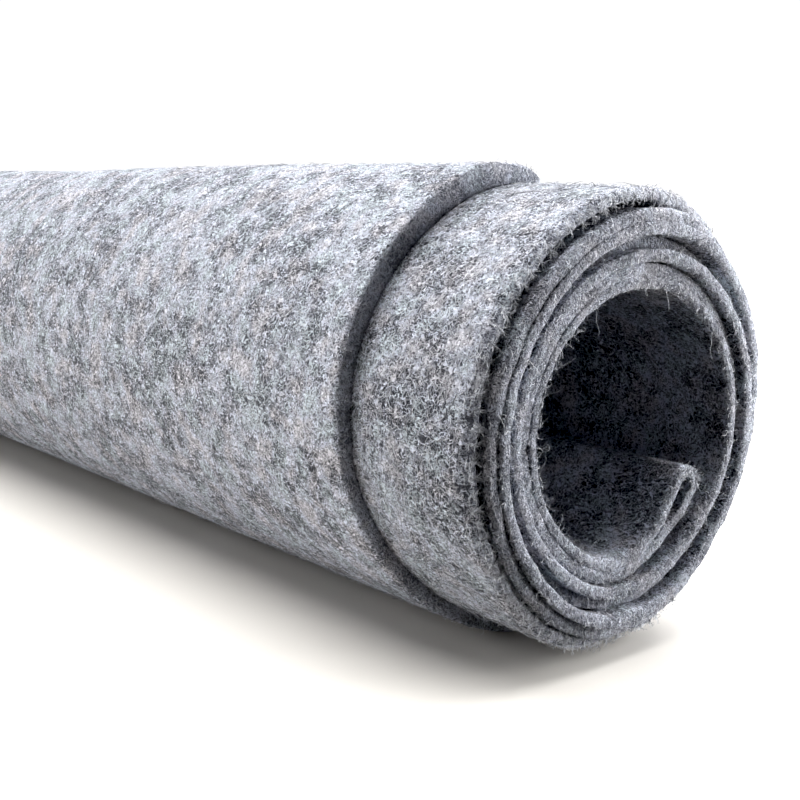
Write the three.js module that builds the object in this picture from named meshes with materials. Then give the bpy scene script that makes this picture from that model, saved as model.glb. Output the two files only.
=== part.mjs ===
import * as THREE from "three";

// A roll of grey wool-blend felt: one cut sheet, folded once across and wound up from the fold.
// Millimetres, +Z up. The roll lies along X on a small flat spot, its shown end at +X.
// Winding angles run in degrees: 0 at the front (-Y), 90 at the top, 180 at the back, 270 underneath.

// Driving dimensions
const SHEET_WIDTH = 450; // along the roll; the sheet is twice as long, folded to a square
const FELT = 1.2;
const PLY_GAP = 0.08; // between the two plies of the folded sheet
const TURN_STEP = 7.5; // degrees of winding between section points
const WINDING_HEIGHT = 23.4; // the winding's centre above the ground
const OUTER_PLY_END = 1175; // degrees of winding where the outer ply is cut off, just past the top
const INNER_PLY_END = 1288; // the inner ply runs on down the back

// The winding, a row for each quarter turn or change of shape. radius is the inner ply's inside face,
// slack the air between the plies, and innerEdge and outerEdge are how far each ply's side edge
// stands out at the shown end, measured from the loose outer ply's edge.
const WINDING = [
  { angle: -60, radius: 13.6, slack: 0, innerEdge: 16.5, outerEdge: 16.4 },
  { angle: 0, radius: 14.1, slack: 0, innerEdge: 16.6, outerEdge: 16.6 },
  { angle: 90, radius: 14.25, slack: 0, innerEdge: 16.8, outerEdge: 16.6 },
  { angle: 135, radius: 13.6, slack: 0, innerEdge: 16.9, outerEdge: 16.5 },
  { angle: 180, radius: 13.4, slack: 0, innerEdge: 17, outerEdge: 16.3 },
  { angle: 225, radius: 13.8, slack: 0, innerEdge: 17, outerEdge: 16.1 },
  { angle: 247, radius: 14.6, slack: 0, innerEdge: 17, outerEdge: 16 },
  { angle: 270, radius: 15.9, slack: 0, innerEdge: 17, outerEdge: 15.8 },
  { angle: 300, radius: 16.35, slack: 0, innerEdge: 17.1, outerEdge: 15.8 },
  { angle: 360, radius: 16.7, slack: 0, innerEdge: 17.2, outerEdge: 15.8 },
  { angle: 450, radius: 17, slack: 0, innerEdge: 17.6, outerEdge: 16 },
  { angle: 495, radius: 16.2, slack: 0, innerEdge: 17.4, outerEdge: 15.8 },
  { angle: 540, radius: 16.05, slack: 0, innerEdge: 17.2, outerEdge: 15.5 },
  { angle: 585, radius: 16.55, slack: 0, innerEdge: 17.2, outerEdge: 15.6 },
  { angle: 607, radius: 17.4, slack: 0, innerEdge: 17.4, outerEdge: 16 },
  { angle: 630, radius: 18.6, slack: 0, innerEdge: 17.6, outerEdge: 16.6 },
  { angle: 660, radius: 19.05, slack: 0, innerEdge: 18, outerEdge: 17.2 },
  { angle: 720, radius: 19.35, slack: 0, innerEdge: 18.5, outerEdge: 18.2 },
  { angle: 810, radius: 19.7, slack: 0, innerEdge: 18.4, outerEdge: 18.2 },
  { angle: 855, radius: 18.85, slack: 0, innerEdge: 17.2, outerEdge: 15.7 },
  { angle: 900, radius: 18.7, slack: 0, innerEdge: 15.8, outerEdge: 12.8 },
  { angle: 945, radius: 19.8, slack: 0, innerEdge: 14.2, outerEdge: 9.7 },
  { angle: 967, radius: 20.9, slack: 0, innerEdge: 14.5, outerEdge: 8.2 },
  { angle: 990, radius: 21.35, slack: 0, innerEdge: 15.2, outerEdge: 6.5 },
  { angle: 1020, radius: 21.85, slack: 0.3, innerEdge: 16.6, outerEdge: 3 },
  { angle: 1050, radius: 22.05, slack: 0.4, innerEdge: 17.1, outerEdge: 0.8 },
  { angle: 1080, radius: 22.35, slack: 0.5, innerEdge: 17.4, outerEdge: 0 },
  { angle: 1125, radius: 22.85, slack: 1.05, innerEdge: 17.4, outerEdge: 0 },
  { angle: 1152, radius: 23.2, slack: 1.45, innerEdge: 17.5, outerEdge: 0 },
  { angle: 1163, radius: 23.1, slack: 1.1, innerEdge: 17.3, outerEdge: -0.1 },
  { angle: 1174, radius: 22.9, slack: 0.3, innerEdge: 16.9, outerEdge: -0.5 },
  { angle: 1185, radius: 22.65, slack: 0.05, innerEdge: 15.8, outerEdge: -0.8 },
  { angle: 1215, radius: 22.2, slack: 0, innerEdge: 13.2, outerEdge: -1 },
  { angle: 1260, radius: 21.75, slack: 0, innerEdge: 10.2, outerEdge: -1 },
  { angle: 1300, radius: 22.45, slack: 0, innerEdge: 9.7, outerEdge: -1 },
];

// The folded start of the sheet leaves the winding and stands up into the hollow as a doubled flap.
const FOLD_CENTRE = new THREE.Vector2(7.7, 16.6); // middle of the fold's round end, as (y, z)
const FOLD_DIRECTION = new THREE.Vector2(0.6, 0.8); // the flap's run up to the fold
const FOLD_RADIUS = 1.4; // of the felt's middle line round the fold
const FLAP_BEND = 7; // reach of the flap's two curve handles
const FLAP_STEPS = 11;
const FOLD_STEPS = 10;

const felt = new THREE.MeshStandardMaterial({ color: 0x9a9ea8, roughness: 0.95, metalness: 0 });

// The winding table as one smooth curve through its rows
const columns = ["radius", "slack", "innerEdge", "outerEdge"];
const winding = new THREE.CubicInterpolant(
  WINDING.map((row) => row.angle),
  WINDING.flatMap((row) => columns.map((name) => row[name])),
  columns.length,
);

function windingAt(angle) {
  const [radius, slack, innerEdge, outerEdge] = winding.evaluate(angle);
  return { radius, slack, innerEdge, outerEdge };
}

// How many layers of felt lie under a ply where it passes beneath the roll
function layersUnder(angle, outerPly) {
  const lastPass = 990;
  const turnsOutside = Math.round((lastPass - angle) / 360);
  return 2 * turnsOutside + (outerPly ? 0 : 1);
}

// A point of the felt's middle line in the winding, settled onto the flat spot underneath
function windingPoint(angle, outerPly) {
  const { radius, slack, innerEdge, outerEdge } = windingAt(angle);
  const middle = radius + FELT / 2 + (outerPly ? FELT + PLY_GAP + slack : 0);
  const turn = THREE.MathUtils.degToRad(angle);
  const outward = new THREE.Vector2(-Math.cos(turn), Math.sin(turn));
  const place = outward.clone().multiplyScalar(middle);
  place.y += WINDING_HEIGHT;
  const lowest = FELT / 2 + layersUnder(angle, outerPly) * (FELT + PLY_GAP);
  const underneath = outward.y < -Math.SQRT1_2;
  const settled = underneath && place.y < lowest;
  if (settled) place.y = lowest;
  return { place, edge: outerPly ? outerEdge : innerEdge, settled };
}

// One ply of the winding, from its start beside the flap to its cut end
function ply(lastAngle, outerPly) {
  const points = [];
  const steps = Math.round((lastAngle - WINDING[0].angle) / TURN_STEP);
  for (let step = 0; step <= steps; step++) {
    const angle = Math.min(WINDING[0].angle + step * TURN_STEP, lastAngle);
    points.push(windingPoint(angle, outerPly));
  }
  return points;
}

// The doubled flap: the felt runs up one side, round the fold and back down the other
function flap() {
  const start = windingAt(WINDING[0].angle);
  const turn = THREE.MathUtils.degToRad(WINDING[0].angle);
  const between = start.radius + FELT + PLY_GAP / 2;
  const root = new THREE.Vector2(-Math.cos(turn), Math.sin(turn)).multiplyScalar(between);
  root.y += WINDING_HEIGHT;
  const leave = new THREE.Vector2(-Math.sin(turn), -Math.cos(turn));
  const spine = new THREE.CubicBezierCurve(
    root,
    root.clone().addScaledVector(leave, FLAP_BEND),
    FOLD_CENTRE.clone().addScaledVector(FOLD_DIRECTION, -FLAP_BEND),
    FOLD_CENTRE,
  );
  const halfApart = (FELT + PLY_GAP) / 2;
  const upper = [];
  const lower = [];
  for (let step = 1; step <= FLAP_STEPS; step++) {
    const along = step / FLAP_STEPS;
    const middle = spine.getPointAt(along);
    const run = spine.getTangentAt(along);
    const side = new THREE.Vector2(-run.y, run.x);
    const opening = THREE.MathUtils.smoothstep(along, 0.55, 1);
    const apart = THREE.MathUtils.lerp(halfApart, FOLD_RADIUS, opening);
    upper.push({ place: middle.clone().addScaledVector(side, apart), edge: start.innerEdge });
    lower.push({ place: middle.clone().addScaledVector(side, -apart), edge: start.outerEdge });
  }
  const round = [];
  const heading = spine.getTangentAt(1).angle();
  for (let step = 1; step < FOLD_STEPS; step++) {
    const share = step / FOLD_STEPS;
    const direction = heading + Math.PI / 2 - Math.PI * share;
    const out = new THREE.Vector2(Math.cos(direction), Math.sin(direction));
    const edge = THREE.MathUtils.lerp(start.innerEdge, start.outerEdge, share);
    round.push({ place: FOLD_CENTRE.clone().addScaledVector(out, FOLD_RADIUS), edge });
  }
  return [...upper, ...round, ...lower.reverse()];
}

// The felt's whole middle line, from the inner ply's cut end to the fold and out to the outer ply's end
function middleLine() {
  const inner = ply(INNER_PLY_END, false).reverse();
  return [...inner, ...flap(), ...ply(OUTER_PLY_END, true)];
}

// The sheet as a closed solid: the middle line given the felt's thickness and the sheet's width
function sheetGeometry(line) {
  const positions = [];
  line.forEach(({ place, edge, settled }, i) => {
    const before = line[Math.max(i - 1, 0)].place;
    const after = line[Math.min(i + 1, line.length - 1)].place;
    const run = after.clone().sub(before).normalize();
    if (settled) run.set(Math.sign(run.x), 0);
    const side = new THREE.Vector2(-run.y, run.x).multiplyScalar(FELT / 2);
    for (const x of [edge, edge - SHEET_WIDTH]) {
      positions.push(x, place.x + side.x, place.y + side.y);
      positions.push(x, place.x - side.x, place.y - side.y);
    }
  });
  const index = [];
  const quad = (a, b, c, d) => index.push(a, b, c, a, c, d);
  const [leftNear, rightNear, leftFar, rightFar] = [0, 1, 2, 3];
  const corners = 4;
  for (let i = 0; i < line.length - 1; i++) {
    const here = i * corners;
    const next = here + corners;
    quad(here + leftNear, next + leftNear, next + leftFar, here + leftFar);
    quad(here + rightNear, here + rightFar, next + rightFar, next + rightNear);
    quad(here + leftNear, here + rightNear, next + rightNear, next + leftNear);
    quad(here + leftFar, next + leftFar, next + rightFar, here + rightFar);
  }
  const last = (line.length - 1) * corners;
  quad(leftNear, leftFar, rightFar, rightNear);
  quad(last + leftNear, last + rightNear, last + rightFar, last + leftFar);
  const geometry = new THREE.BufferGeometry();
  geometry.setAttribute("position", new THREE.Float32BufferAttribute(positions, 3));
  geometry.setIndex(index);
  geometry.computeVertexNormals();
  return geometry;
}

const roll = new THREE.Mesh(sheetGeometry(middleLine()), felt);
roll.name = "felt_roll";

// The origin is under the middle of the roll, on the ground
const box = new THREE.Box3().setFromObject(roll);
const middle = box.getCenter(new THREE.Vector3());
roll.position.set(-middle.x, -middle.y, -box.min.z);

const part = new THREE.Group();
part.add(roll);

export default part;
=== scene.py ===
"""The look of a roll of heathered wool-blend felt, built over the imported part.

One sheet of felt is folded in half and rolled up from the fold. The sheet itself, the fuzz on its faces and
the fibres along its cut edges are separate pieces, and each group of them has an operator of its own.
"""
import math

import bpy
import numpy as np
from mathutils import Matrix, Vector


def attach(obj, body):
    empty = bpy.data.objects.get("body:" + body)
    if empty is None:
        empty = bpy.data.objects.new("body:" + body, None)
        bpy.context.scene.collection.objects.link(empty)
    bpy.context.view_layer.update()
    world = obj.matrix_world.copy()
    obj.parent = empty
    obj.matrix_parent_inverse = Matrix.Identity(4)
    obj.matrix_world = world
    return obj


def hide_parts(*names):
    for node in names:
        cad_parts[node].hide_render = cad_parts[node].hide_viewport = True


bl_info = {
    "name": "Felt Roll",
    "version": (1, 0, 0),
    "blender": (4, 5, 0),
    "location": "View3D > Sidebar > Felt Roll",
    "description": "A sheet of heathered felt, folded in half and rolled up from the fold",
    "category": "Object",
}

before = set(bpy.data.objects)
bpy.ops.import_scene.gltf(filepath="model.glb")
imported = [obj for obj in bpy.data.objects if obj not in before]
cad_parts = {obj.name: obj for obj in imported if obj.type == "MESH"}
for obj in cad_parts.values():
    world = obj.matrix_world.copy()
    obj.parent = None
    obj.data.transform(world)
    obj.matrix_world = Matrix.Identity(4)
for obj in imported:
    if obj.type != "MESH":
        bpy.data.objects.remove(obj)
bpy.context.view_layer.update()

MM = 0.001

# The winding, one row for each quarter turn or change of shape, in degrees and millimetres. Angles run from 0
# at the front over the top. radius is the inner ply's inside face, slack the air between the two plies, and
# the two edges are how far each ply's side edge stands out at the shown end, past the loose outer ply's edge.
WINDING_COLUMNS = ("angle", "radius", "slack", "inner_edge", "outer_edge")
WINDING = (
    (-60, 13.6, 0, 16.5, 16.4),
    (0, 14.1, 0, 16.6, 16.6),
    (90, 14.25, 0, 16.8, 16.6),
    (135, 13.6, 0, 16.9, 16.5),
    (180, 13.4, 0, 17, 16.3),
    (225, 13.8, 0, 17, 16.1),
    (247, 14.6, 0, 17, 16),
    (270, 15.9, 0, 17, 15.8),
    (300, 16.35, 0, 17.1, 15.8),
    (360, 16.7, 0, 17.2, 15.8),
    (450, 17, 0, 17.6, 16),
    (495, 16.2, 0, 17.4, 15.8),
    (540, 16.05, 0, 17.2, 15.5),
    (585, 16.55, 0, 17.2, 15.6),
    (607, 17.4, 0, 17.4, 16),
    (630, 18.6, 0, 17.6, 16.6),
    (660, 19.05, 0, 18, 17.2),
    (720, 19.35, 0, 18.5, 18.2),
    (810, 19.7, 0, 18.4, 18.2),
    (855, 18.85, 0, 17.2, 15.7),
    (900, 18.7, 0, 15.8, 12.8),
    (945, 19.8, 0, 14.2, 9.7),
    (967, 20.9, 0, 14.5, 8.2),
    (990, 21.35, 0, 15.2, 6.5),
    (1020, 21.85, 0.3, 16.6, 3),
    (1050, 22.05, 0.4, 17.1, 0.8),
    (1080, 22.35, 0.5, 17.4, 0),
    (1125, 22.85, 1.05, 17.4, 0),
    (1152, 23.2, 1.45, 17.5, 0),
    (1163, 23.1, 1.1, 17.3, -0.1),
    (1174, 22.9, 0.3, 16.9, -0.5),
    (1185, 22.65, 0.05, 15.8, -0.8),
    (1215, 22.2, 0, 13.2, -1),
    (1260, 21.75, 0, 10.2, -1),
    (1300, 22.45, 0, 9.7, -1),
)
# The gap between the two plies, the height of the winding's centre, the angles where each ply is cut off and
# where the winding last passes underneath, the degrees between points, and how far before a cut end the
# taper's own points take over
PLY_GAP = 0.08
WINDING_HEIGHT = 23.4
OUTER_PLY_END = 1175
INNER_PLY_END = 1288
LAST_PASS_UNDER = 990
TURN_STEP = 3.75
END_CLEAR = 7

# The doubled flap that stands up into the hollow, and the round fold at its top. Its two sides part from this
# share of its length, over this share. Its curve is measured at this many points.
FOLD_CENTRE = (7.7, 16.6)
FOLD_DIRECTION = (0.6, 0.8)
FOLD_RADIUS = 1.4
FLAP_BEND = 7
FLAP_PARTS_FROM = 0.55
FLAP_PARTS_OVER = 0.45
FLAP_STEPS = 18
FOLD_STEPS = 16
CURVE_SAMPLES = 400

# Where the winding's own zero lies in the part: along the roll and across it
WINDING_X = 215.94
WINDING_Y = 1.19

# A cut edge is rounded over along this profile of shares: how far in from the edge, and how far down the
# thickness. Each pair gives the rounding's reach in both, in millimetres. It is small where another ply lies
# against the edge, larger on open sides and round the hollow's rim, and different again on the two plies of
# the last turn, which stand out alone: the band of inner ply and the loose outer wrap.
EDGE_PROFILE = ((1.0, 0.0), (0.78, 0.1), (0.5, 0.36), (0.2, 0.74), (0.02, 1.0))
TUCKED_EDGE = (0.12, 0.1)
OPEN_EDGE = (0.3, 0.28)
RIM_EDGE = (0.6, 0.5)
BAND_EDGE = (1.1, 0.75)
WRAP_EDGE = (0.45, 0.28)
# Degrees of winding where the rim ends, the groove behind the band begins, the last turn begins to stand
# alone and the band's rounding lessens, and the degrees over which each change is made. The groove's edge
# takes this share of the rim's rounding, and the band gives up this share of its own.
RIM_TO = 300
RIM_FADE = 40
GROOVE_FROM = 640
GROOVE_FADE = 60
GROOVE_SHARE = 0.3
LONE_FROM = 955
LONE_FADE = 40
BAND_LESS_FROM = 1160
BAND_LESS_FADE = 30
BAND_LESS = 0.7
# Loose fibre thickens a cut edge by this much. The loose outer ply's edge also comes down on the band under
# it, by this share of the air between and this much more, fading out over a few millimetres.
EDGE_PUFF = 0.05
LIP_SHARE = 0.97
LIP_PRESS = 0.06
LIP_REACH = 9.0

# Side edges wander in and out by this much, in waves whose lengths vary by these shares: seed and lengths for
# the edges at each end
EDGE_WANDER = 0.11
WANDER_SHARES = (0.8, 1.25)
NEAR_WANDER = (3, (2.3, 3.7, 6.1, 13, 41))
FAR_WANDER = (8, (2.1, 3.3, 6.7, 17, 47))

# Gentle hollows and swells of the whole roll: depth, waves round it, millimetres along it, start and wobble.
# Depths are those at this radius. They are gone where a point lies this share of its radius below the
# centre, near the flat spot, after a fade that is this share wide.
SWELLS = (
    (0.16, 2, 31, 0.6, 0),
    (0.12, 3, -19, 2.1, 0),
    (0.08, 0, 11.3, 1.2, 1),
    (0.05, 5, 7.1, 0, 0),
)
SWELL_RADIUS = 25
SWELL_ENDS = 0.92
SWELL_FADE = 0.35

# Fibres raised on a face: the shortest and the longest, the shape and scale of their lift, the spread of
# their curl, their tone and its spread, the points on each, and the first of the pieces' seeds. Nearer than
# the longest to the shown edge, they all point back along the roll.
SHORTEST_FIBRE = 0.7
LONGEST_FIBRE = 2.2
FIBRE_LIFT = (1.6, 0.07)
FIBRE_CURL = 2.2
FIBRE_TONE = (0.75, 0.3)
FIBRE_POINTS = 6
FACE_SEED = 40
# Degrees of winding where they grow: on the outer ply's last turn, on the band and in the hollow
WRAP_FUZZ_FROM = 940
BAND_FUZZ_FROM = 975
BAND_FUZZ_TO = 1230
HOLLOW_FUZZ_TO = 290

# Fibres along a cut edge: how much of the thickness they grow on, the spread of their lean, their lift and
# its spread, their tone and its spread, and the first of the pieces' seeds
EDGE_SPREAD = 0.9
EDGE_LEAN = 0.9
EDGE_LIFT = (0.06, 0.08)
EDGE_TONE = (0.7, 0.3)
EDGE_SEED = 70

# Every fibre is a tube of a few sides. It sways a little as it curls, rises to a crest and levels off, starts
# just under the felt's face and thins to its tip. Its sides are turned from the face's normal by the tilt.
FIBRE_SIDES = 3
FIBRE_SWAY = 0.35
FIBRE_SWAYS = 2.6
FIBRE_RISE = 2.2
FIBRE_CREST = 1.9
FIBRE_ROOT = 0.04
FIBRE_THINS = 0.55
FIBRE_TILT = 0.31

# The felt thins out at its two cut ends: degrees back from the end, and the share of the thickness left there
END_TAPER = ((5.5, 1.0), (3.6, 0.93), (1.9, 0.74), (0.7, 0.45), (0.0, 0.15))

# Rows of points along the roll, in millimetres from the shown end's edge
NEAR_STATIONS = (2.1, 3.0, 4, 6.5, 10, 15, 22, 31, 43, 58, 78, 104)
STATIONS = (*NEAR_STATIONS, 136, 174, 215, 258, 300, 340, 376, 406, 428, 441, 448)

# The felt's pattern, in millimetres: how wide the bends of its fibres are and how far they reach aside,
# clouds and slow drifts of the two colours, the grain of the pressed ground, warm and cool patches, and the
# relief
BEND_SIZE = 0.8
BEND_REACH = 0.8
CLOUD_SIZE = 2.9
DRIFT_SIZE = 9.0
GRAIN_SIZE = 0.28
PATCH_SIZE = 3.2
RELIEF = 0.3
# Its layers of fibre lines: the turn of each, its stretch along three axes, the size of its curls in
# millimetres, and how far the noise may stray from its middle value within a line
FIBRE_LAYERS = (
    ((0.3, 0.2, 0.5), (1.0, 2.0, 2.0), 0.95, 0.04),
    ((1.2, -0.4, 0.9), (2.0, 1.0, 2.0), 0.9, 0.04),
    ((-0.7, 0.9, -0.5), (2.0, 2.0, 1.0), 1.0, 0.04),
    ((0.9, -1.0, 0.4), (1.2, 1.0, 2.1), 0.9, 0.04),
    ((0.1, 0.6, -0.8), (1.0, 2.1, 1.6), 0.95, 0.045),
    ((0.5, 1.4, 0.2), (1.0, 2.0, 1.8), 0.9, 0.05),
)

# The camera stands level with the top of the roll, to the right of the shown end
CAMERA_PLACE = (0.3153, -0.095, 0.04787)
CAMERA_TURN = math.radians(38.31)
CAMERA_DIP = math.radians(9.77)
CAMERA_LENS = 56.98
CAMERA_SENSOR = 36
CAMERA_NEAR = 0.005

# Soft studio light: name, direction it comes from, spread in degrees, strength
LIGHTS = (
    ("overhead_softbox", (-0.46, 0.27, 1.0), 86, 8.9),
    ("front_fill", (-0.95, -0.9, 0.16), 50, 2.75),
)
# A lit white card stands beside the shown end, out of the picture: its place, what it faces, its width and
# its power
END_CARD = (0.315, 0.161, 0.024)
END_CARD_FACES = (0.2345, 0.0, 0.025)
END_CARD_WIDTH = 0.2
END_CARD_POWER = 1.5
# The floor reaches this far each way. Its front part, right of this corner, throws no light back, so that the
# hollow stays dark.
FLOOR_REACH = 3.0
QUIET_CORNER = (0.238, 0.03)
# The room's own dim light, the backdrop as the camera sees it, and the picture's gamma and black point
ROOM_LIGHT = 0.018
BACKDROP_LIGHT = 1.05
PICTURE_GAMMA = 0.87
PICTURE_BLACK = 0.013


def linear(hex_colour):
    """An sRGB hex colour as linear red, green and blue."""
    channels = [int(hex_colour[i : i + 2], 16) / 255 for i in (1, 3, 5)]
    return [c / 12.92 if c <= 0.04045 else ((c + 0.055) / 1.055) ** 2.4 for c in channels]


class FeltRollSettings(bpy.types.PropertyGroup):
    """Sizes and colours of the felt."""

    sheet_width: bpy.props.FloatProperty(
        name="Sheet width",
        description="Width of the cut sheet, which lies along the roll",
        default=0.45,
        unit="LENGTH",
    )
    sheet_length: bpy.props.FloatProperty(
        name="Sheet length",
        description="Length of the cut sheet before it was folded in half",
        default=0.9,
        unit="LENGTH",
    )
    thickness: bpy.props.FloatProperty(
        name="Felt thickness",
        description="Thickness of one ply of felt",
        default=0.0012,
        unit="LENGTH",
        precision=5,
    )
    fibre_width: bpy.props.FloatProperty(
        name="Fibre width",
        description="Width of a loose fibre, about three times real wool so that it shows",
        default=0.00005,
        unit="LENGTH",
        precision=6,
    )
    pale_fibre: bpy.props.FloatVectorProperty(
        name="Pale fibre",
        description="Colour of the undyed fibres",
        subtype="COLOR",
        default=linear("#F6F8FE"),
    )
    dark_fibre: bpy.props.FloatVectorProperty(
        name="Dark fibre",
        description="Colour of the dyed fibres",
        subtype="COLOR",
        default=linear("#171A27"),
    )
    floor: bpy.props.FloatVectorProperty(
        name="Floor",
        description="Colour of the pale floor",
        subtype="COLOR",
        default=linear("#DDDAD5"),
    )


def winding_at(angles):
    """Every column of the winding at these angles, on one smooth curve through the rows."""
    table = np.array(WINDING, float)
    knots = table[:, 0]
    values = table[:, 1:]
    slopes = np.empty_like(values)
    slopes[1:-1] = (values[2:] - values[:-2]) / (knots[2:] - knots[:-2])[:, None]
    first = (values[1] - values[0]) / (knots[1] - knots[0])
    last = (values[-1] - values[-2]) / (knots[-1] - knots[-2])
    slopes[0] = 1.5 * first - 0.5 * slopes[1]
    slopes[-1] = 1.5 * last - 0.5 * slopes[-2]
    row = np.clip(np.searchsorted(knots, angles, "right") - 1, 0, len(knots) - 2)
    span = (knots[row + 1] - knots[row])[:, None]
    t = (np.asarray(angles, float) - knots[row])[:, None] / span
    result = (
        (2 * t**3 - 3 * t**2 + 1) * values[row]
        + (t**3 - 2 * t**2 + t) * span * slopes[row]
        + (3 * t**2 - 2 * t**3) * values[row + 1]
        + (t**3 - t**2) * span * slopes[row + 1]
    )
    return {name: result[:, i] for i, name in enumerate(WINDING_COLUMNS[1:])}


def ply_line(last_angle, outer_ply, thickness):
    """One ply's middle line in the winding, with its side edge and where it lies flat at each point."""
    steps = round((last_angle - WINDING[0][0]) / TURN_STEP)
    angles = WINDING[0][0] + TURN_STEP * np.arange(steps + 1)
    ending = [last_angle - back for back, _ in END_TAPER]
    angles = np.concatenate([angles[angles < last_angle - END_CLEAR], ending])
    at = winding_at(angles)
    middle = at["radius"] + thickness / 2
    if outer_ply:
        middle = middle + thickness + PLY_GAP + at["slack"]
    turn = np.radians(angles)
    place = np.stack([-np.cos(turn) * middle, np.sin(turn) * middle + WINDING_HEIGHT], 1)

    # Where a ply passes underneath, it lies flat on the layers of felt below it
    layers_under = 2 * np.round((LAST_PASS_UNDER - angles) / 360) + (0 if outer_ply else 1)
    lowest = thickness / 2 + layers_under * (thickness + PLY_GAP)
    flat = (np.sin(turn) < -math.sqrt(0.5)) & (place[:, 1] < lowest)
    place[flat, 1] = lowest[flat]

    edge = at["outer_edge"] if outer_ply else at["inner_edge"]
    full = np.ones(len(angles))
    full[-len(END_TAPER) :] = [left for _, left in END_TAPER]
    slack = at["slack"] if outer_ply else np.zeros(len(angles))
    return {"place": place, "edge": edge, "flat": flat, "angle": angles, "full": full, "slack": slack}


def flap_line(thickness):
    """The doubled flap's middle line, up its inner side, round the fold and down its outer side."""
    start = {name: column[0] for name, column in winding_at(np.array([WINDING[0][0]])).items()}
    turn = math.radians(WINDING[0][0])
    between = start["radius"] + thickness + PLY_GAP / 2
    root = np.array([-math.cos(turn) * between, math.sin(turn) * between + WINDING_HEIGHT])
    leave = np.array([-math.sin(turn), -math.cos(turn)])
    tip = np.array(FOLD_CENTRE)
    heading = np.array(FOLD_DIRECTION)
    handles = np.array([root, root + leave * FLAP_BEND, tip - heading * FLAP_BEND, tip])
    t = np.linspace(0, 1, CURVE_SAMPLES)[:, None]
    curve = (
        (1 - t) ** 3 * handles[0]
        + 3 * (1 - t) ** 2 * t * handles[1]
        + 3 * (1 - t) * t**2 * handles[2]
        + t**3 * handles[3]
    )
    travelled = np.concatenate([[0], np.cumsum(np.linalg.norm(np.diff(curve, axis=0), axis=1))])
    share = np.arange(1, FLAP_STEPS + 1) / FLAP_STEPS
    spine = np.stack([np.interp(share * travelled[-1], travelled, curve[:, k]) for k in (0, 1)], 1)
    run = np.gradient(curve, axis=0)
    run = np.stack([np.interp(share * travelled[-1], travelled, run[:, k]) for k in (0, 1)], 1)
    run /= np.linalg.norm(run, axis=1)[:, None]
    side = np.stack([-run[:, 1], run[:, 0]], 1)
    opening = np.clip((share - FLAP_PARTS_FROM) / FLAP_PARTS_OVER, 0, 1)
    opening = opening * opening * (3 - 2 * opening)
    half_apart = (thickness + PLY_GAP) / 2
    apart = (half_apart + (FOLD_RADIUS - half_apart) * opening)[:, None]
    facing = math.atan2(run[-1, 1], run[-1, 0])
    around = np.arange(1, FOLD_STEPS) / FOLD_STEPS
    out = facing + math.pi / 2 - math.pi * around
    fold = tip + FOLD_RADIUS * np.stack([np.cos(out), np.sin(out)], 1)
    edge_change = start["inner_edge"] + (start["outer_edge"] - start["inner_edge"]) * around
    place = np.concatenate([spine + side * apart, fold, (spine - side * apart)[::-1]])
    edge = np.concatenate(
        [np.full(FLAP_STEPS, start["inner_edge"]), edge_change, np.full(FLAP_STEPS, start["outer_edge"])]
    )
    nowhere = np.zeros(len(place), bool)
    return {
        "place": place,
        "edge": edge,
        "flat": nowhere,
        "angle": np.full(len(place), np.nan),
        "full": np.ones(len(place)),
        "slack": np.zeros(len(place)),
    }


def sheet_line(thickness, width):
    """The whole sheet's middle line, from the inner ply's cut end, round the fold, to the outer ply's."""
    inner = ply_line(INNER_PLY_END, False, thickness)
    outer = ply_line(OUTER_PLY_END, True, thickness)
    flap = flap_line(thickness)
    line = {name: np.concatenate([inner[name][::-1], flap[name], outer[name]]) for name in inner}
    count = len(line["edge"])
    line["outer_ply"] = np.arange(count) >= len(inner["edge"]) + len(flap["edge"]) // 2
    before = line["place"][np.maximum(np.arange(count) - 1, 0)]
    after = line["place"][np.minimum(np.arange(count) + 1, count - 1)]
    run = after - before
    run /= np.linalg.norm(run, axis=1)[:, None]
    run[line["flat"]] = np.stack([np.sign(run[line["flat"], 0]), np.zeros(line["flat"].sum())], 1)
    line["side"] = np.stack([-run[:, 1], run[:, 0]], 1)
    line["run"] = run
    steps = np.linalg.norm(np.diff(line["place"], axis=0), axis=1)
    along = np.concatenate([[0], np.cumsum(steps)])
    line["near"] = line["edge"] + wander(along, *NEAR_WANDER, EDGE_WANDER)
    line["far"] = line["edge"] - width + wander(along, *FAR_WANDER, EDGE_WANDER)

    # The cut ends thin down onto the ply beneath them
    beneath = np.where(line["outer_ply"], -1, 1) * (1 - line["full"]) * thickness / 2
    line["place"] = line["place"] + line["side"] * beneath[:, None]
    return line


def wander(along, seed, wavelengths, depth):
    """A smooth uneven wave along a line, a sum of sines with seeded lengths and starts."""
    random = np.random.default_rng(seed)
    wave = np.zeros_like(along)
    for wavelength in wavelengths:
        length = wavelength * random.uniform(*WANDER_SHARES)
        wave += np.sin(2 * math.pi * along / length + random.uniform(0, 2 * math.pi))
    return depth * wave / math.sqrt(len(wavelengths))


def settle(points, x):
    """Gentle hollows and swells of the whole roll, which fade out on the flat spot underneath."""
    y = points[..., 0]
    z = points[..., 1] - WINDING_HEIGHT
    turn = np.arctan2(z, -y)
    swell = np.zeros_like(turn)
    for depth, waves, length, start, wobble in SWELLS:
        swell += depth * np.sin(waves * turn + x / length + start + wobble * np.sin(2 * turn))
    radius = np.hypot(y, z)
    lying = np.clip((z / np.maximum(radius, 1e-6) + SWELL_ENDS) / SWELL_FADE, 0, 1)
    share = 1 + swell * lying * lying * (3 - 2 * lying) / SWELL_RADIUS
    return np.stack([y * share, z * share + WINDING_HEIGHT], -1)


def in_part(x, points):
    """Points of the winding, in millimetres, as points of the part in metres."""
    return np.stack([x + WINDING_X, points[..., 0] + WINDING_Y, points[..., 1]], -1) * MM


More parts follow.
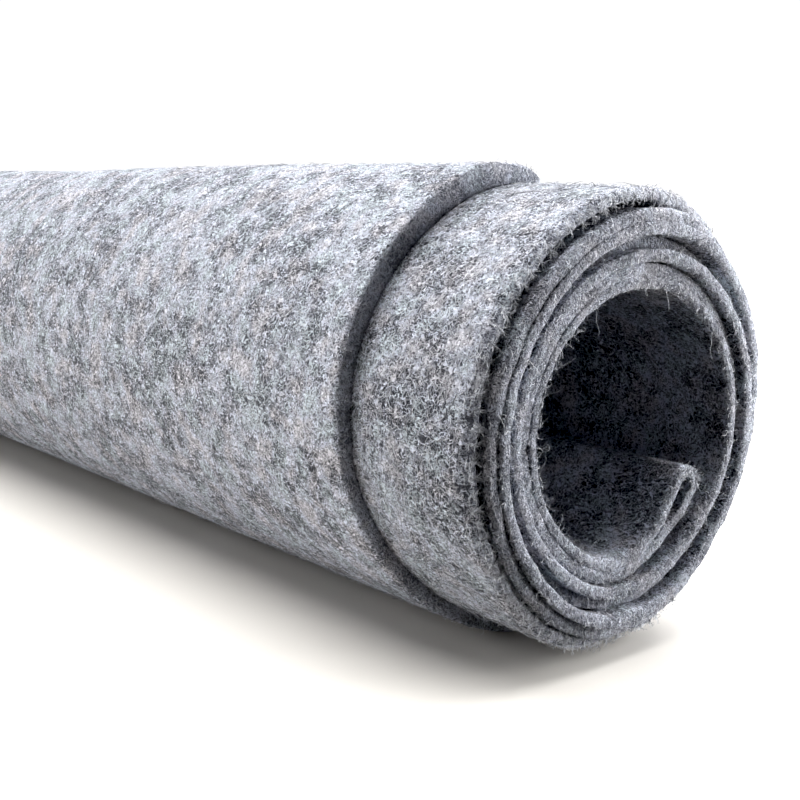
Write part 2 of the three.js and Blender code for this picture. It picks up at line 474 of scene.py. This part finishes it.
def mesh_piece(name, verts, faces):
    """A new mesh object from points and faces, smooth shaded, linked to the scene."""
    mesh = bpy.data.meshes.new(name)
    mesh.from_pydata(verts, [], faces)
    mesh.polygons.foreach_set("use_smooth", [True] * len(mesh.polygons))
    mesh.update()
    piece = bpy.data.objects.new(name, mesh)
    bpy.context.scene.collection.objects.link(piece)
    return piece


def add_node(tree, kind, settings=None, inputs=None):
    """Adds a node with its settings. An input is a value, or a socket that is linked to it."""
    node = tree.nodes.new(kind)
    for name, value in (settings or {}).items():
        setattr(node, name, value)
    for socket, value in (inputs or {}).items():
        if isinstance(value, bpy.types.NodeSocket):
            tree.links.new(value, node.inputs[socket])
        else:
            node.inputs[socket].default_value = value
    return node


def per_metre(millimetres):
    """A noise scale whose features are about this wide."""
    return 1 / (millimetres * MM)


def felt_material(settings):
    """Wool-blend felt: carded pale and dark fibres pressed together, which the eye sees as a mottled grey."""
    material = bpy.data.materials.new("wool_blend_felt")
    material.use_nodes = True
    tree = material.node_tree
    tree.nodes.clear()
    place = add_node(tree, "ShaderNodeTexCoord").outputs["Object"]

    # Fibres are bent and tangled, so the place is first pushed about by a soft noise
    push = add_node(
        tree,
        "ShaderNodeTexNoise",
        inputs={"Vector": place, "Scale": per_metre(BEND_SIZE), "Detail": 2.0},
    )
    centred = add_node(
        tree,
        "ShaderNodeVectorMath",
        {"operation": "SUBTRACT"},
        {0: push.outputs["Color"], 1: (0.5, 0.5, 0.5)},
    )
    shift = add_node(
        tree,
        "ShaderNodeVectorMath",
        {"operation": "SCALE"},
        {0: centred.outputs[0], "Scale": BEND_REACH * MM},
    )
    tangled = add_node(
        tree, "ShaderNodeVectorMath", {"operation": "ADD"}, {0: place, 1: shift.outputs[0]}
    ).outputs[0]

    # Each layer of fibres is the line where a stretched noise crosses its middle value. The lines are about
    # 0.1 mm wide, some four times a real fibre, because a finer one would not show.
    layers = []
    for turn, stretch, size, line in FIBRE_LAYERS:
        turned = add_node(
            tree,
            "ShaderNodeMapping",
            inputs={"Vector": tangled, "Rotation": turn, "Scale": stretch},
        )
        noise = add_node(
            tree,
            "ShaderNodeTexNoise",
            inputs={"Vector": turned.outputs[0], "Scale": per_metre(size), "Detail": 1.0, "Distortion": 0.6},
        )
        off_line = add_node(
            tree, "ShaderNodeMath", {"operation": "SUBTRACT"}, {0: noise.outputs[0], 1: 0.5}
        )
        off_line = add_node(tree, "ShaderNodeMath", {"operation": "ABSOLUTE"}, {0: off_line.outputs[0]})
        fibre = add_node(
            tree,
            "ShaderNodeMapRange",
            {"interpolation_type": "SMOOTHSTEP"},
            {
                "Value": off_line.outputs[0],
                "From Min": 0.3 * line,
                "From Max": line,
                "To Min": 1.0,
                "To Max": 0.0,
            },
        )
        layers.append(fibre.outputs[0])
    pairs = []
    for first, second in (layers[:2], layers[2:4]):
        either = add_node(tree, "ShaderNodeMath", {"operation": "MAXIMUM"}, {0: first, 1: second})
        pairs.append(either.outputs[0])
    buried, pale = pairs
    loose, dark = layers[4:]

    # Carding leaves clouds where one colour outweighs the other, and slower drifts
    clouds = add_node(
        tree,
        "ShaderNodeTexNoise",
        inputs={"Vector": place, "Scale": per_metre(CLOUD_SIZE), "Detail": 3.0, "Roughness": 0.6},
    )
    drifts = add_node(
        tree,
        "ShaderNodeTexNoise",
        inputs={"Vector": place, "Scale": per_metre(DRIFT_SIZE), "Detail": 2.0},
    )
    specks = add_node(
        tree,
        "ShaderNodeTexNoise",
        inputs={"Vector": tangled, "Scale": per_metre(GRAIN_SIZE), "Detail": 2.0, "Roughness": 0.7},
    )
    grain = add_node(
        tree, "ShaderNodeMapRange", inputs={"Value": specks.outputs[0], "From Min": 0.35, "From Max": 0.65}
    )
    mixed = add_node(
        tree,
        "ShaderNodeMath",
        {"operation": "MULTIPLY_ADD"},
        {0: drifts.outputs[0], 1: 0.5, 2: clouds.outputs[0]},
    )
    cloudy = add_node(
        tree,
        "ShaderNodeMapRange",
        {"interpolation_type": "SMOOTHSTEP"},
        {"Value": mixed.outputs[0], "From Min": 0.65, "From Max": 0.87, "To Min": 0.0, "To Max": 1.0},
    ).outputs[0]

    # From the back forward: the pressed ground, buried pale fibres, dark fibres, and pale fibres on top. Each
    # has its cover where the cloud is darkest and where it is palest.
    stack = (*settings.dark_fibre, 1)
    for cover, least, most, shade in (
        (grain.outputs[0], 0.03, 0.48, settings.pale_fibre),
        (buried, 0.05, 0.6, settings.pale_fibre),
        (dark, 0.9, 0.6, settings.dark_fibre),
        (pale, 0.5, 1.0, settings.pale_fibre),
        (loose, 1.0, 1.0, settings.pale_fibre),
    ):
        strength = add_node(
            tree, "ShaderNodeMapRange", inputs={"Value": cloudy, "To Min": least, "To Max": most}
        )
        share = add_node(
            tree, "ShaderNodeMath", {"operation": "MULTIPLY"}, {0: cover, 1: strength.outputs[0]}
        )
        stack = add_node(
            tree,
            "ShaderNodeMix",
            {"data_type": "RGBA"},
            {0: share.outputs[0], 6: stack, 7: (*shade, 1)},
        ).outputs[2]

    # Faint warm and cool patches keep the grey from looking flat
    patches = add_node(
        tree, "ShaderNodeTexNoise", inputs={"Vector": place, "Scale": per_metre(PATCH_SIZE), "Detail": 2.0}
    )
    tint = add_node(tree, "ShaderNodeValToRGB", inputs={0: patches.outputs[0]})
    tint.color_ramp.elements[0].position = 0.36
    tint.color_ramp.elements[0].color = (*linear("#EBF2F5"), 1)
    tint.color_ramp.elements[1].position = 0.64
    tint.color_ramp.elements[1].color = (*linear("#F5F1F3"), 1)
    between = tint.color_ramp.elements.new(0.5)
    between.color = (*linear("#EEF0F9"), 1)
    colour = add_node(
        tree,
        "ShaderNodeMix",
        {"data_type": "RGBA", "blend_type": "MULTIPLY"},
        {0: 1.0, 6: stack, 7: tint.outputs[0]},
    )

    # The knife leaves short fibre ends on the cut sides, which face along the roll: a darker, more even grey,
    # partly their own tone and partly painted shade
    facing = add_node(
        tree, "ShaderNodeSeparateXYZ", inputs={0: add_node(tree, "ShaderNodeNewGeometry").outputs["Normal"]}
    )
    sideways = add_node(tree, "ShaderNodeMath", {"operation": "ABSOLUTE"}, {0: facing.outputs[0]})
    # Painted shade: every side facing along the roll is darkened in colour, standing in for the shade on the
    # cut edges
    cut = add_node(
        tree,
        "ShaderNodeMapRange",
        {"interpolation_type": "SMOOTHSTEP"},
        {"Value": sideways.outputs[0], "From Min": 0.35, "From Max": 0.85, "To Min": 0.0, "To Max": 0.45},
    )
    colour = add_node(
        tree,
        "ShaderNodeMix",
        {"data_type": "RGBA"},
        {0: cut.outputs[0], 6: colour.outputs[2], 7: (*linear("#9A9DA8"), 1)},
    )

    # The fibres stand up a little from the pressed ground
    relief = add_node(
        tree, "ShaderNodeMath", {"operation": "MULTIPLY_ADD"}, {0: pale, 1: 0.6, 2: specks.outputs[0]}
    )
    bump = add_node(
        tree,
        "ShaderNodeBump",
        inputs={"Height": relief.outputs[0], "Strength": 1.0, "Distance": RELIEF * MM},
    )
    shader = add_node(
        tree,
        "ShaderNodeBsdfPrincipled",
        inputs={
            "Base Color": colour.outputs[2],
            "Normal": bump.outputs[0],
            "Roughness": 0.95,
            "Specular IOR Level": 0.15,
            "Sheen Weight": 0.25,
            "Sheen Roughness": 0.6,
            "Sheen Tint": (*linear("#F4F6FA"), 1),
        },
    )
    add_node(tree, "ShaderNodeOutputMaterial", inputs={"Surface": shader.outputs[0]})
    return material


def fibre_material(settings):
    """Loose wool fibre: thin, curled and matt, some pale and some dark, as mixed in carding."""
    material = bpy.data.materials.new("loose_wool_fibre")
    material.use_nodes = True
    tree = material.node_tree
    tree.nodes.clear()
    tone = add_node(tree, "ShaderNodeAttribute", {"attribute_name": "fibre_tone"})
    colour = add_node(
        tree,
        "ShaderNodeMix",
        {"data_type": "RGBA"},
        {0: tone.outputs["Fac"], 6: (*settings.dark_fibre, 1), 7: (*settings.pale_fibre, 1)},
    )
    shader = add_node(
        tree,
        "ShaderNodeBsdfPrincipled",
        inputs={"Base Color": colour.outputs[2], "Roughness": 0.8, "Specular IOR Level": 0.3},
    )
    add_node(tree, "ShaderNodeOutputMaterial", inputs={"Surface": shader.outputs[0]})
    return material


def material_named(name, make, settings):
    """The scene's material of that name, made the first time it is asked for."""
    return bpy.data.materials.get(name) or make(settings)


def take_into_part(piece, material):
    """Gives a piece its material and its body."""
    piece.data.materials.append(material)
    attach(piece, "root")


def part_way(pair, other, share):
    """A pair of lengths taken this share of the way to another pair, at each point of the line."""
    return [length + (goal - length) * share for length, goal in zip(pair, other)]


class FELTROLL_OT_sheet(bpy.types.Operator):
    """Model the folded and rolled sheet of felt"""

    bl_idname = "feltroll.sheet"
    bl_label = "Rolled Sheet"

    def execute(self, context):
        settings = context.scene.felt_roll
        width = settings.sheet_width / MM
        thickness = settings.thickness / MM
        line = sheet_line(thickness, width)
        count = len(line["edge"])
        near = line["near"]
        far = line["far"]
        half = line["full"] * thickness / 2
        angle = np.nan_to_num(line["angle"])

        # How far each point belongs to the band, wrap, rim or groove, and so how its edges are rounded
        alone = np.clip((angle - LONE_FROM) / LONE_FADE, 0, 1)
        less = BAND_LESS * np.clip((angle - BAND_LESS_FROM) / BAND_LESS_FADE, 0, 1)
        band = alone * ~line["outer_ply"] * (1 - less)
        wrap = alone * line["outer_ply"]
        rim = np.clip((RIM_TO - angle) / RIM_FADE, 0, 1) * ~line["outer_ply"]
        groove = np.clip((angle - GROOVE_FROM) / GROOVE_FADE, 0, 1) * line["outer_ply"]
        tucked = part_way(TUCKED_EDGE, BAND_EDGE, band)
        clear = part_way(OPEN_EDGE, RIM_EDGE, np.maximum(rim, GROOVE_SHARE * groove))
        clear = part_way(clear, WRAP_EDGE, wrap)
        lip = (LIP_SHARE * line["slack"] + LIP_PRESS) * wrap

        # One ring of points round the ply for each point of the line: the left face from the shown end to the
        # far end, the far edge, the right face back, and the shown edge
        puffed = half + EDGE_PUFF * (1 - alone)
        left = []
        right = []
        for inset, drop in EDGE_PROFILE:
            left.append((clear[0] * inset, puffed - clear[1] * line["full"] * drop))
            right.append((tucked[0] * inset, tucked[1] * line["full"] * drop - puffed))
        ring = []
        for inset, across in reversed(left):
            ring.append((near - inset, across))
        for station in STATIONS:
            ring.append((near - station, half))
        for inset, across in left + right[::-1]:
            ring.append((far + inset, across))
        for station in reversed(STATIONS):
            ring.append((near - station, -half - lip * max(0, 1 - station / LIP_REACH) ** 2))
        for inset, across in right:
            ring.append((near - inset, across - lip))
        size = len(ring)
        verts = np.empty((count, size, 3))
        for k, (x, across) in enumerate(ring):
            points = line["place"] + line["side"] * across[:, None]
            verts[:, k] = in_part(x, settle(points, x))
        faces = []
        for i in range(count - 1):
            here = i * size
            there = here + size
            for k in range(size):
                after = (k + 1) % size
                faces.append((here + k, there + k, there + after, here + after))
        last = (count - 1) * size
        faces.append(tuple(range(size)))
        faces.append(tuple(last + k for k in reversed(range(size))))
        piece = mesh_piece("felt_sheet", verts.reshape(-1, 3).tolist(), faces)
        take_into_part(piece, material_named("wool_blend_felt", felt_material, settings))
        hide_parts("felt_roll")
        return {"FINISHED"}


def fibre_piece(name, roots, headings, normals, lengths, lifts, curls, tones, points, settings):
    """Joins loose fibres into one piece. Each is a thin tube that curls as it runs."""
    width = settings.fibre_width
    share = np.linspace(0, 1, points)
    across = np.cross(normals, headings)
    bend = curls[:, None] * share + FIBRE_SWAY * curls[:, None] * np.sin(FIBRE_SWAYS * math.pi * share)
    step = lengths[:, None] / (points - 1)
    forward = np.cumsum(np.cos(bend) * step, 1) - np.cos(bend[:, :1]) * step
    sideways = np.cumsum(np.sin(bend) * step, 1) - np.sin(bend[:, :1]) * step
    upward = lifts[:, None] * np.sin(np.minimum(share * FIBRE_RISE, FIBRE_CREST)) - FIBRE_ROOT * MM
    paths = (
        roots[:, None]
        + headings[:, None] * forward[..., None]
        + across[:, None] * sideways[..., None]
        + normals[:, None] * upward[..., None]
    )

    # A fibre that would reach into the floor is left out
    clear = paths[..., 2].min(1) > width
    paths, normals, across, tones = paths[clear], normals[clear], across[clear], tones[clear]
    count = len(paths)

    run = np.gradient(paths, axis=1)
    run /= np.linalg.norm(run, axis=2)[..., None]
    first = np.cross(run, normals[:, None] + FIBRE_TILT * across[:, None])
    first /= np.linalg.norm(first, axis=2)[..., None]
    second = np.cross(run, first)
    taper = (1 - FIBRE_THINS * share**2)[None, :, None, None]
    turn = np.arange(FIBRE_SIDES) * 2 * math.pi / FIBRE_SIDES
    cosines = np.cos(turn)[None, None, :, None]
    sines = np.sin(turn)[None, None, :, None]
    spokes = first[:, :, None] * cosines + second[:, :, None] * sines
    verts = paths[:, :, None] + spokes * (width / 2) * taper

    ends = (np.arange(count) * points * FIBRE_SIDES)[:, None]
    ring = ends[:, :, None] + np.arange(points - 1)[None, :, None] * FIBRE_SIDES
    corner = np.arange(FIBRE_SIDES)
    here = ring + corner
    after = ring + (corner + 1) % FIBRE_SIDES
    quads = np.stack([here, after, after + FIBRE_SIDES, here + FIBRE_SIDES], -1).reshape(-1, 4)
    faces = quads.tolist()
    faces += (ends + corner[::-1]).tolist()
    faces += (ends + (points - 1) * FIBRE_SIDES + corner).tolist()
    piece = mesh_piece(name, verts.reshape(-1, 3).tolist(), faces)
    tone = piece.data.attributes.new("fibre_tone", "FLOAT", "POINT")
    tone.data.foreach_set("value", np.repeat(tones, points * FIBRE_SIDES).astype(np.float32))
    take_into_part(piece, material_named("loose_wool_fibre", fibre_material, settings))


def face_spots(line, random, chosen, thickness, side, x):
    """Where fibres grow on one face of the sheet: their roots, random headings and the face's normals."""
    outward = line["side"][chosen] * side
    points = settle(line["place"][chosen] + outward * line["full"][chosen][:, None] * thickness / 2, x)
    roots = in_part(x, points)
    normals = np.concatenate([np.zeros((len(chosen), 1)), outward], 1)
    around = np.concatenate([np.zeros((len(chosen), 1)), line["run"][chosen]], 1)
    turn = random.uniform(0, 2 * math.pi, len(chosen))
    headings = around * np.cos(turn)[:, None] + np.array([1.0, 0, 0]) * np.sin(turn)[:, None]
    return roots, headings, normals


class FELTROLL_OT_face_fuzz(bpy.types.Operator):
    """Raise loose fibres on the faces of the felt that show"""

    bl_idname = "feltroll.face_fuzz"
    bl_label = "Face Fuzz"

    def execute(self, context):
        settings = context.scene.felt_roll
        width = settings.sheet_width / MM
        thickness = settings.thickness / MM
        line = sheet_line(thickness, width)
        outer = line["outer_ply"]
        angle = line["angle"]
        index = np.arange(len(angle))
        wrap = index[outer & (angle > WRAP_FUZZ_FROM)]
        tail = index[~outer & (angle > OUTER_PLY_END)]
        band = index[~outer & (angle > BAND_FUZZ_FROM) & (angle < BAND_FUZZ_TO)]
        hollow = index[~outer & (angle < HOLLOW_FUZZ_TO)]
        flap = index[np.isnan(angle)]
        # Name, line points, face, number of fibres, and how far from the shown end they begin and stop
        patches = (
            ("fuzz_wrap_near", wrap, 1, 4600, 0.6, 70),
            ("fuzz_wrap_far", wrap, 1, 1800, 70, width - 1),
            ("fuzz_band", band, -1, 5800, 0.2, 17),
            ("fuzz_tail", tail, -1, 1000, 0.6, width - 1),
            ("fuzz_hollow", hollow, 1, 900, 0.4, 40),
            ("fuzz_flap", flap, 1, 260, 0.4, 30),
        )
        for seed, (name, spots, side, count, least, most) in enumerate(patches):
            random = np.random.default_rng(FACE_SEED + seed)
            chosen = random.choice(spots, count)
            inset = random.uniform(least, most, count)
            x = line["edge"][chosen] - inset
            roots, headings, normals = face_spots(line, random, chosen, thickness, side, x)
            headings[inset < LONGEST_FIBRE, 0] = -np.abs(headings[inset < LONGEST_FIBRE, 0])
            lengths = random.uniform(SHORTEST_FIBRE, LONGEST_FIBRE, count) * MM
            lifts = random.gamma(*FIBRE_LIFT, count) * MM
            curls = random.normal(0, FIBRE_CURL, count)
            tones = np.clip(random.normal(*FIBRE_TONE, count), 0, 1)
            fibre_piece(name, roots, headings, normals, lengths, lifts, curls, tones, FIBRE_POINTS, settings)
        return {"FINISHED"}


class FELTROLL_OT_edge_fuzz(bpy.types.Operator):
    """Fray the cut side edges of the sheet with short fibres and a few longer curls"""

    bl_idname = "feltroll.edge_fuzz"
    bl_label = "Edge Fuzz"

    def execute(self, context):
        settings = context.scene.felt_roll
        width = settings.sheet_width / MM
        thickness = settings.thickness / MM
        line = sheet_line(thickness, width)
        everywhere = np.arange(1, len(line["edge"]) - 1)
        inner = ~line["outer_ply"][1:-1]
        angle = line["angle"][1:-1]
        rim = everywhere[inner & (angle < RIM_TO)]
        band = everywhere[inner & (angle > LONE_FROM)]
        # Name, line points, end, number of fibres, shortest and longest, points on each, spread of the curl,
        # how far they stand out from the edge, and lean
        tufts = (
            ("frayed_edge_near", everywhere, 1, 7500, 0.35, 1.1, 5, 2.8, 0.25, 0.0),
            ("frayed_edge_far", everywhere, -1, 1800, 0.35, 1.1, 5, 2.8, 0.25, 0.0),
            ("loose_curls_near", everywhere, 1, 260, 0.9, 2.4, 14, 7.0, 0.7, 0.0),
            ("loose_curls_hollow", rim, 1, 110, 1.0, 3.4, 16, 7.0, 0.7, 1.4),
            ("loose_curls_far", everywhere, -1, 140, 0.9, 2.4, 12, 7.0, 0.7, 0.0),
            ("frayed_band", band, 1, 2600, 0.5, 1.5, 5, 2.8, 0.25, 1.5),
        )
        for seed, (name, spots, end, count, shortest, longest, points, curl, out, bias) in enumerate(tufts):
            random = np.random.default_rng(EDGE_SEED + seed)
            chosen = random.choice(spots, count)
            across = random.uniform(-EDGE_SPREAD, EDGE_SPREAD, count)
            x = line["near"][chosen] if end > 0 else line["far"][chosen]
            place = line["place"][chosen] + line["side"][chosen] * (across * thickness / 2)[:, None]
            roots = in_part(x, settle(place, x))
            side = np.concatenate([np.zeros((count, 1)), line["side"][chosen]], 1)
            around = np.concatenate([np.zeros((count, 1)), line["run"][chosen]], 1)
            lean = random.normal(bias, EDGE_LEAN, count)[:, None]
            sway = random.normal(0, EDGE_LEAN, count)[:, None]
            headings = np.array([end * out, 0, 0]) + side * lean + around * sway
            headings /= np.linalg.norm(headings, axis=1)[:, None]
            sideways = np.cross(headings, np.array([end, 0, 0]))
            sideways /= np.linalg.norm(sideways, axis=1)[:, None]
            normals = np.cross(sideways, headings)
            lengths = random.uniform(shortest, longest, count) * MM
            lifts = random.normal(*EDGE_LIFT, count) * MM
            curls = random.normal(0, curl, count)
            tones = np.clip(random.normal(*EDGE_TONE, count), 0, 1)
            fibre_piece(name, roots, headings, normals, lengths, lifts, curls, tones, points, settings)
        return {"FINISHED"}


class FELTROLL_OT_declare(bpy.types.Operator):
    """Does nothing: the sheet's cut size and its fuzz are not stated here"""

    bl_idname = "feltroll.declare"
    bl_label = "Declare Cloth"

    def execute(self, context):
        return {"FINISHED"}


class FELTROLL_OT_stage(bpy.types.Operator):
    """Lay a pale floor, set soft studio light and place the camera"""

    bl_idname = "feltroll.stage"
    bl_label = "Studio"

    def execute(self, context):
        scene = context.scene
        settings = scene.felt_roll

        # Painted board, matt and even: a soft white with no shine, so only the roll's shadow shows on it
        paint = bpy.data.materials.new("matt_white_board")
        paint.use_nodes = True
        board = paint.node_tree.nodes["Principled BSDF"]
        board.inputs["Base Color"].default_value = (*settings.floor, 1)
        board.inputs["Roughness"].default_value = 0.9
        board.inputs["Specular IOR Level"].default_value = 0.1

        far = FLOOR_REACH
        x, y = QUIET_CORNER
        floors = (
            ("pale_floor", ((-far, -far), (x, -far), (x, y), (far, y), (far, far), (-far, far))),
            ("pale_floor_quiet", ((x, -far), (far, -far), (far, y), (x, y))),
        )
        for name, corners in floors:
            floor = mesh_piece(name, [(*corner, 0) for corner in corners], [tuple(range(len(corners)))])
            floor.data.materials.append(paint)
            floor.visible_diffuse = name == "pale_floor"

        # The surround is a dim grey room, which the camera sees as a white backdrop
        world = bpy.data.worlds.new("studio_surround")
        world.use_nodes = True
        tree = world.node_tree
        tree.nodes.clear()
        seen = add_node(tree, "ShaderNodeLightPath").outputs["Is Camera Ray"]
        brightness = add_node(
            tree, "ShaderNodeMapRange", inputs={"Value": seen, "To Min": ROOM_LIGHT, "To Max": BACKDROP_LIGHT}
        )
        glow = add_node(
            tree, "ShaderNodeBackground", inputs={"Color": (1, 1, 1, 1), "Strength": brightness.outputs[0]}
        )
        add_node(tree, "ShaderNodeOutputWorld", inputs={"Surface": glow.outputs[0]})
        scene.world = world

        for name, direction, spread, strength in LIGHTS:
            light = bpy.data.lights.new(name, "SUN")
            light.energy = strength
            light.angle = math.radians(spread)
            holder = bpy.data.objects.new(name, light)
            holder.rotation_euler = Vector(direction).to_track_quat("Z", "Y").to_euler()
            scene.collection.objects.link(holder)

        card = bpy.data.lights.new("end_card", "AREA")
        card.energy = END_CARD_POWER
        card.size = END_CARD_WIDTH
        holder = bpy.data.objects.new("end_card", card)
        holder.location = END_CARD
        holder.rotation_euler = (Vector(END_CARD) - Vector(END_CARD_FACES)).to_track_quat("Z", "Y").to_euler()
        holder.visible_camera = False
        scene.collection.objects.link(holder)

        lens = bpy.data.cameras.new("studio_camera")
        lens.lens = CAMERA_LENS
        lens.sensor_width = CAMERA_SENSOR
        lens.clip_start = CAMERA_NEAR
        camera = bpy.data.objects.new("studio_camera", lens)
        camera.location = CAMERA_PLACE
        facing = Vector(
            (
                -math.cos(CAMERA_TURN) * math.cos(CAMERA_DIP),
                math.sin(CAMERA_TURN) * math.cos(CAMERA_DIP),
                -math.sin(CAMERA_DIP),
            )
        )
        camera.rotation_euler = facing.to_track_quat("-Z", "Y").to_euler()
        scene.collection.objects.link(camera)
        scene.camera = camera
        scene.view_settings.view_transform = "Standard"
        scene.view_settings.gamma = PICTURE_GAMMA
        scene.view_settings.use_curve_mapping = True
        scene.view_settings.curve_mapping.black_level = [PICTURE_BLACK] * 3
        scene.view_settings.curve_mapping.update()
        return {"FINISHED"}


class FELTROLL_PT_panel(bpy.types.Panel):
    """Sizes, colours and pieces of the felt roll"""

    bl_label = "Felt Roll"
    bl_idname = "FELTROLL_PT_panel"
    bl_space_type = "VIEW_3D"
    bl_region_type = "UI"
    bl_category = "Felt Roll"

    def draw(self, context):
        settings = context.scene.felt_roll
        for name in FeltRollSettings.__annotations__:
            self.layout.prop(settings, name)
        for piece in PIECE_OPERATORS:
            self.layout.operator(piece.bl_idname)


PIECE_OPERATORS = (
    FELTROLL_OT_sheet,
    FELTROLL_OT_face_fuzz,
    FELTROLL_OT_edge_fuzz,
    FELTROLL_OT_declare,
    FELTROLL_OT_stage,
)
CLASSES = (FeltRollSettings, *PIECE_OPERATORS, FELTROLL_PT_panel)


def register():
    """Registers the settings, the operators and the panel."""
    for cls in CLASSES:
        bpy.utils.register_class(cls)
    bpy.types.Scene.felt_roll = bpy.props.PointerProperty(type=FeltRollSettings)


def unregister():
    """Takes the panel, the operators and the settings away again."""
    del bpy.types.Scene.felt_roll
    for cls in reversed(CLASSES):
        bpy.utils.unregister_class(cls)


def main():
    """Builds the roll and its studio."""
    register()
    bpy.ops.feltroll.sheet()
    bpy.ops.feltroll.face_fuzz()
    bpy.ops.feltroll.edge_fuzz()
    bpy.ops.feltroll.declare()
    bpy.ops.feltroll.stage()


if __name__ == "__main__":
    main()
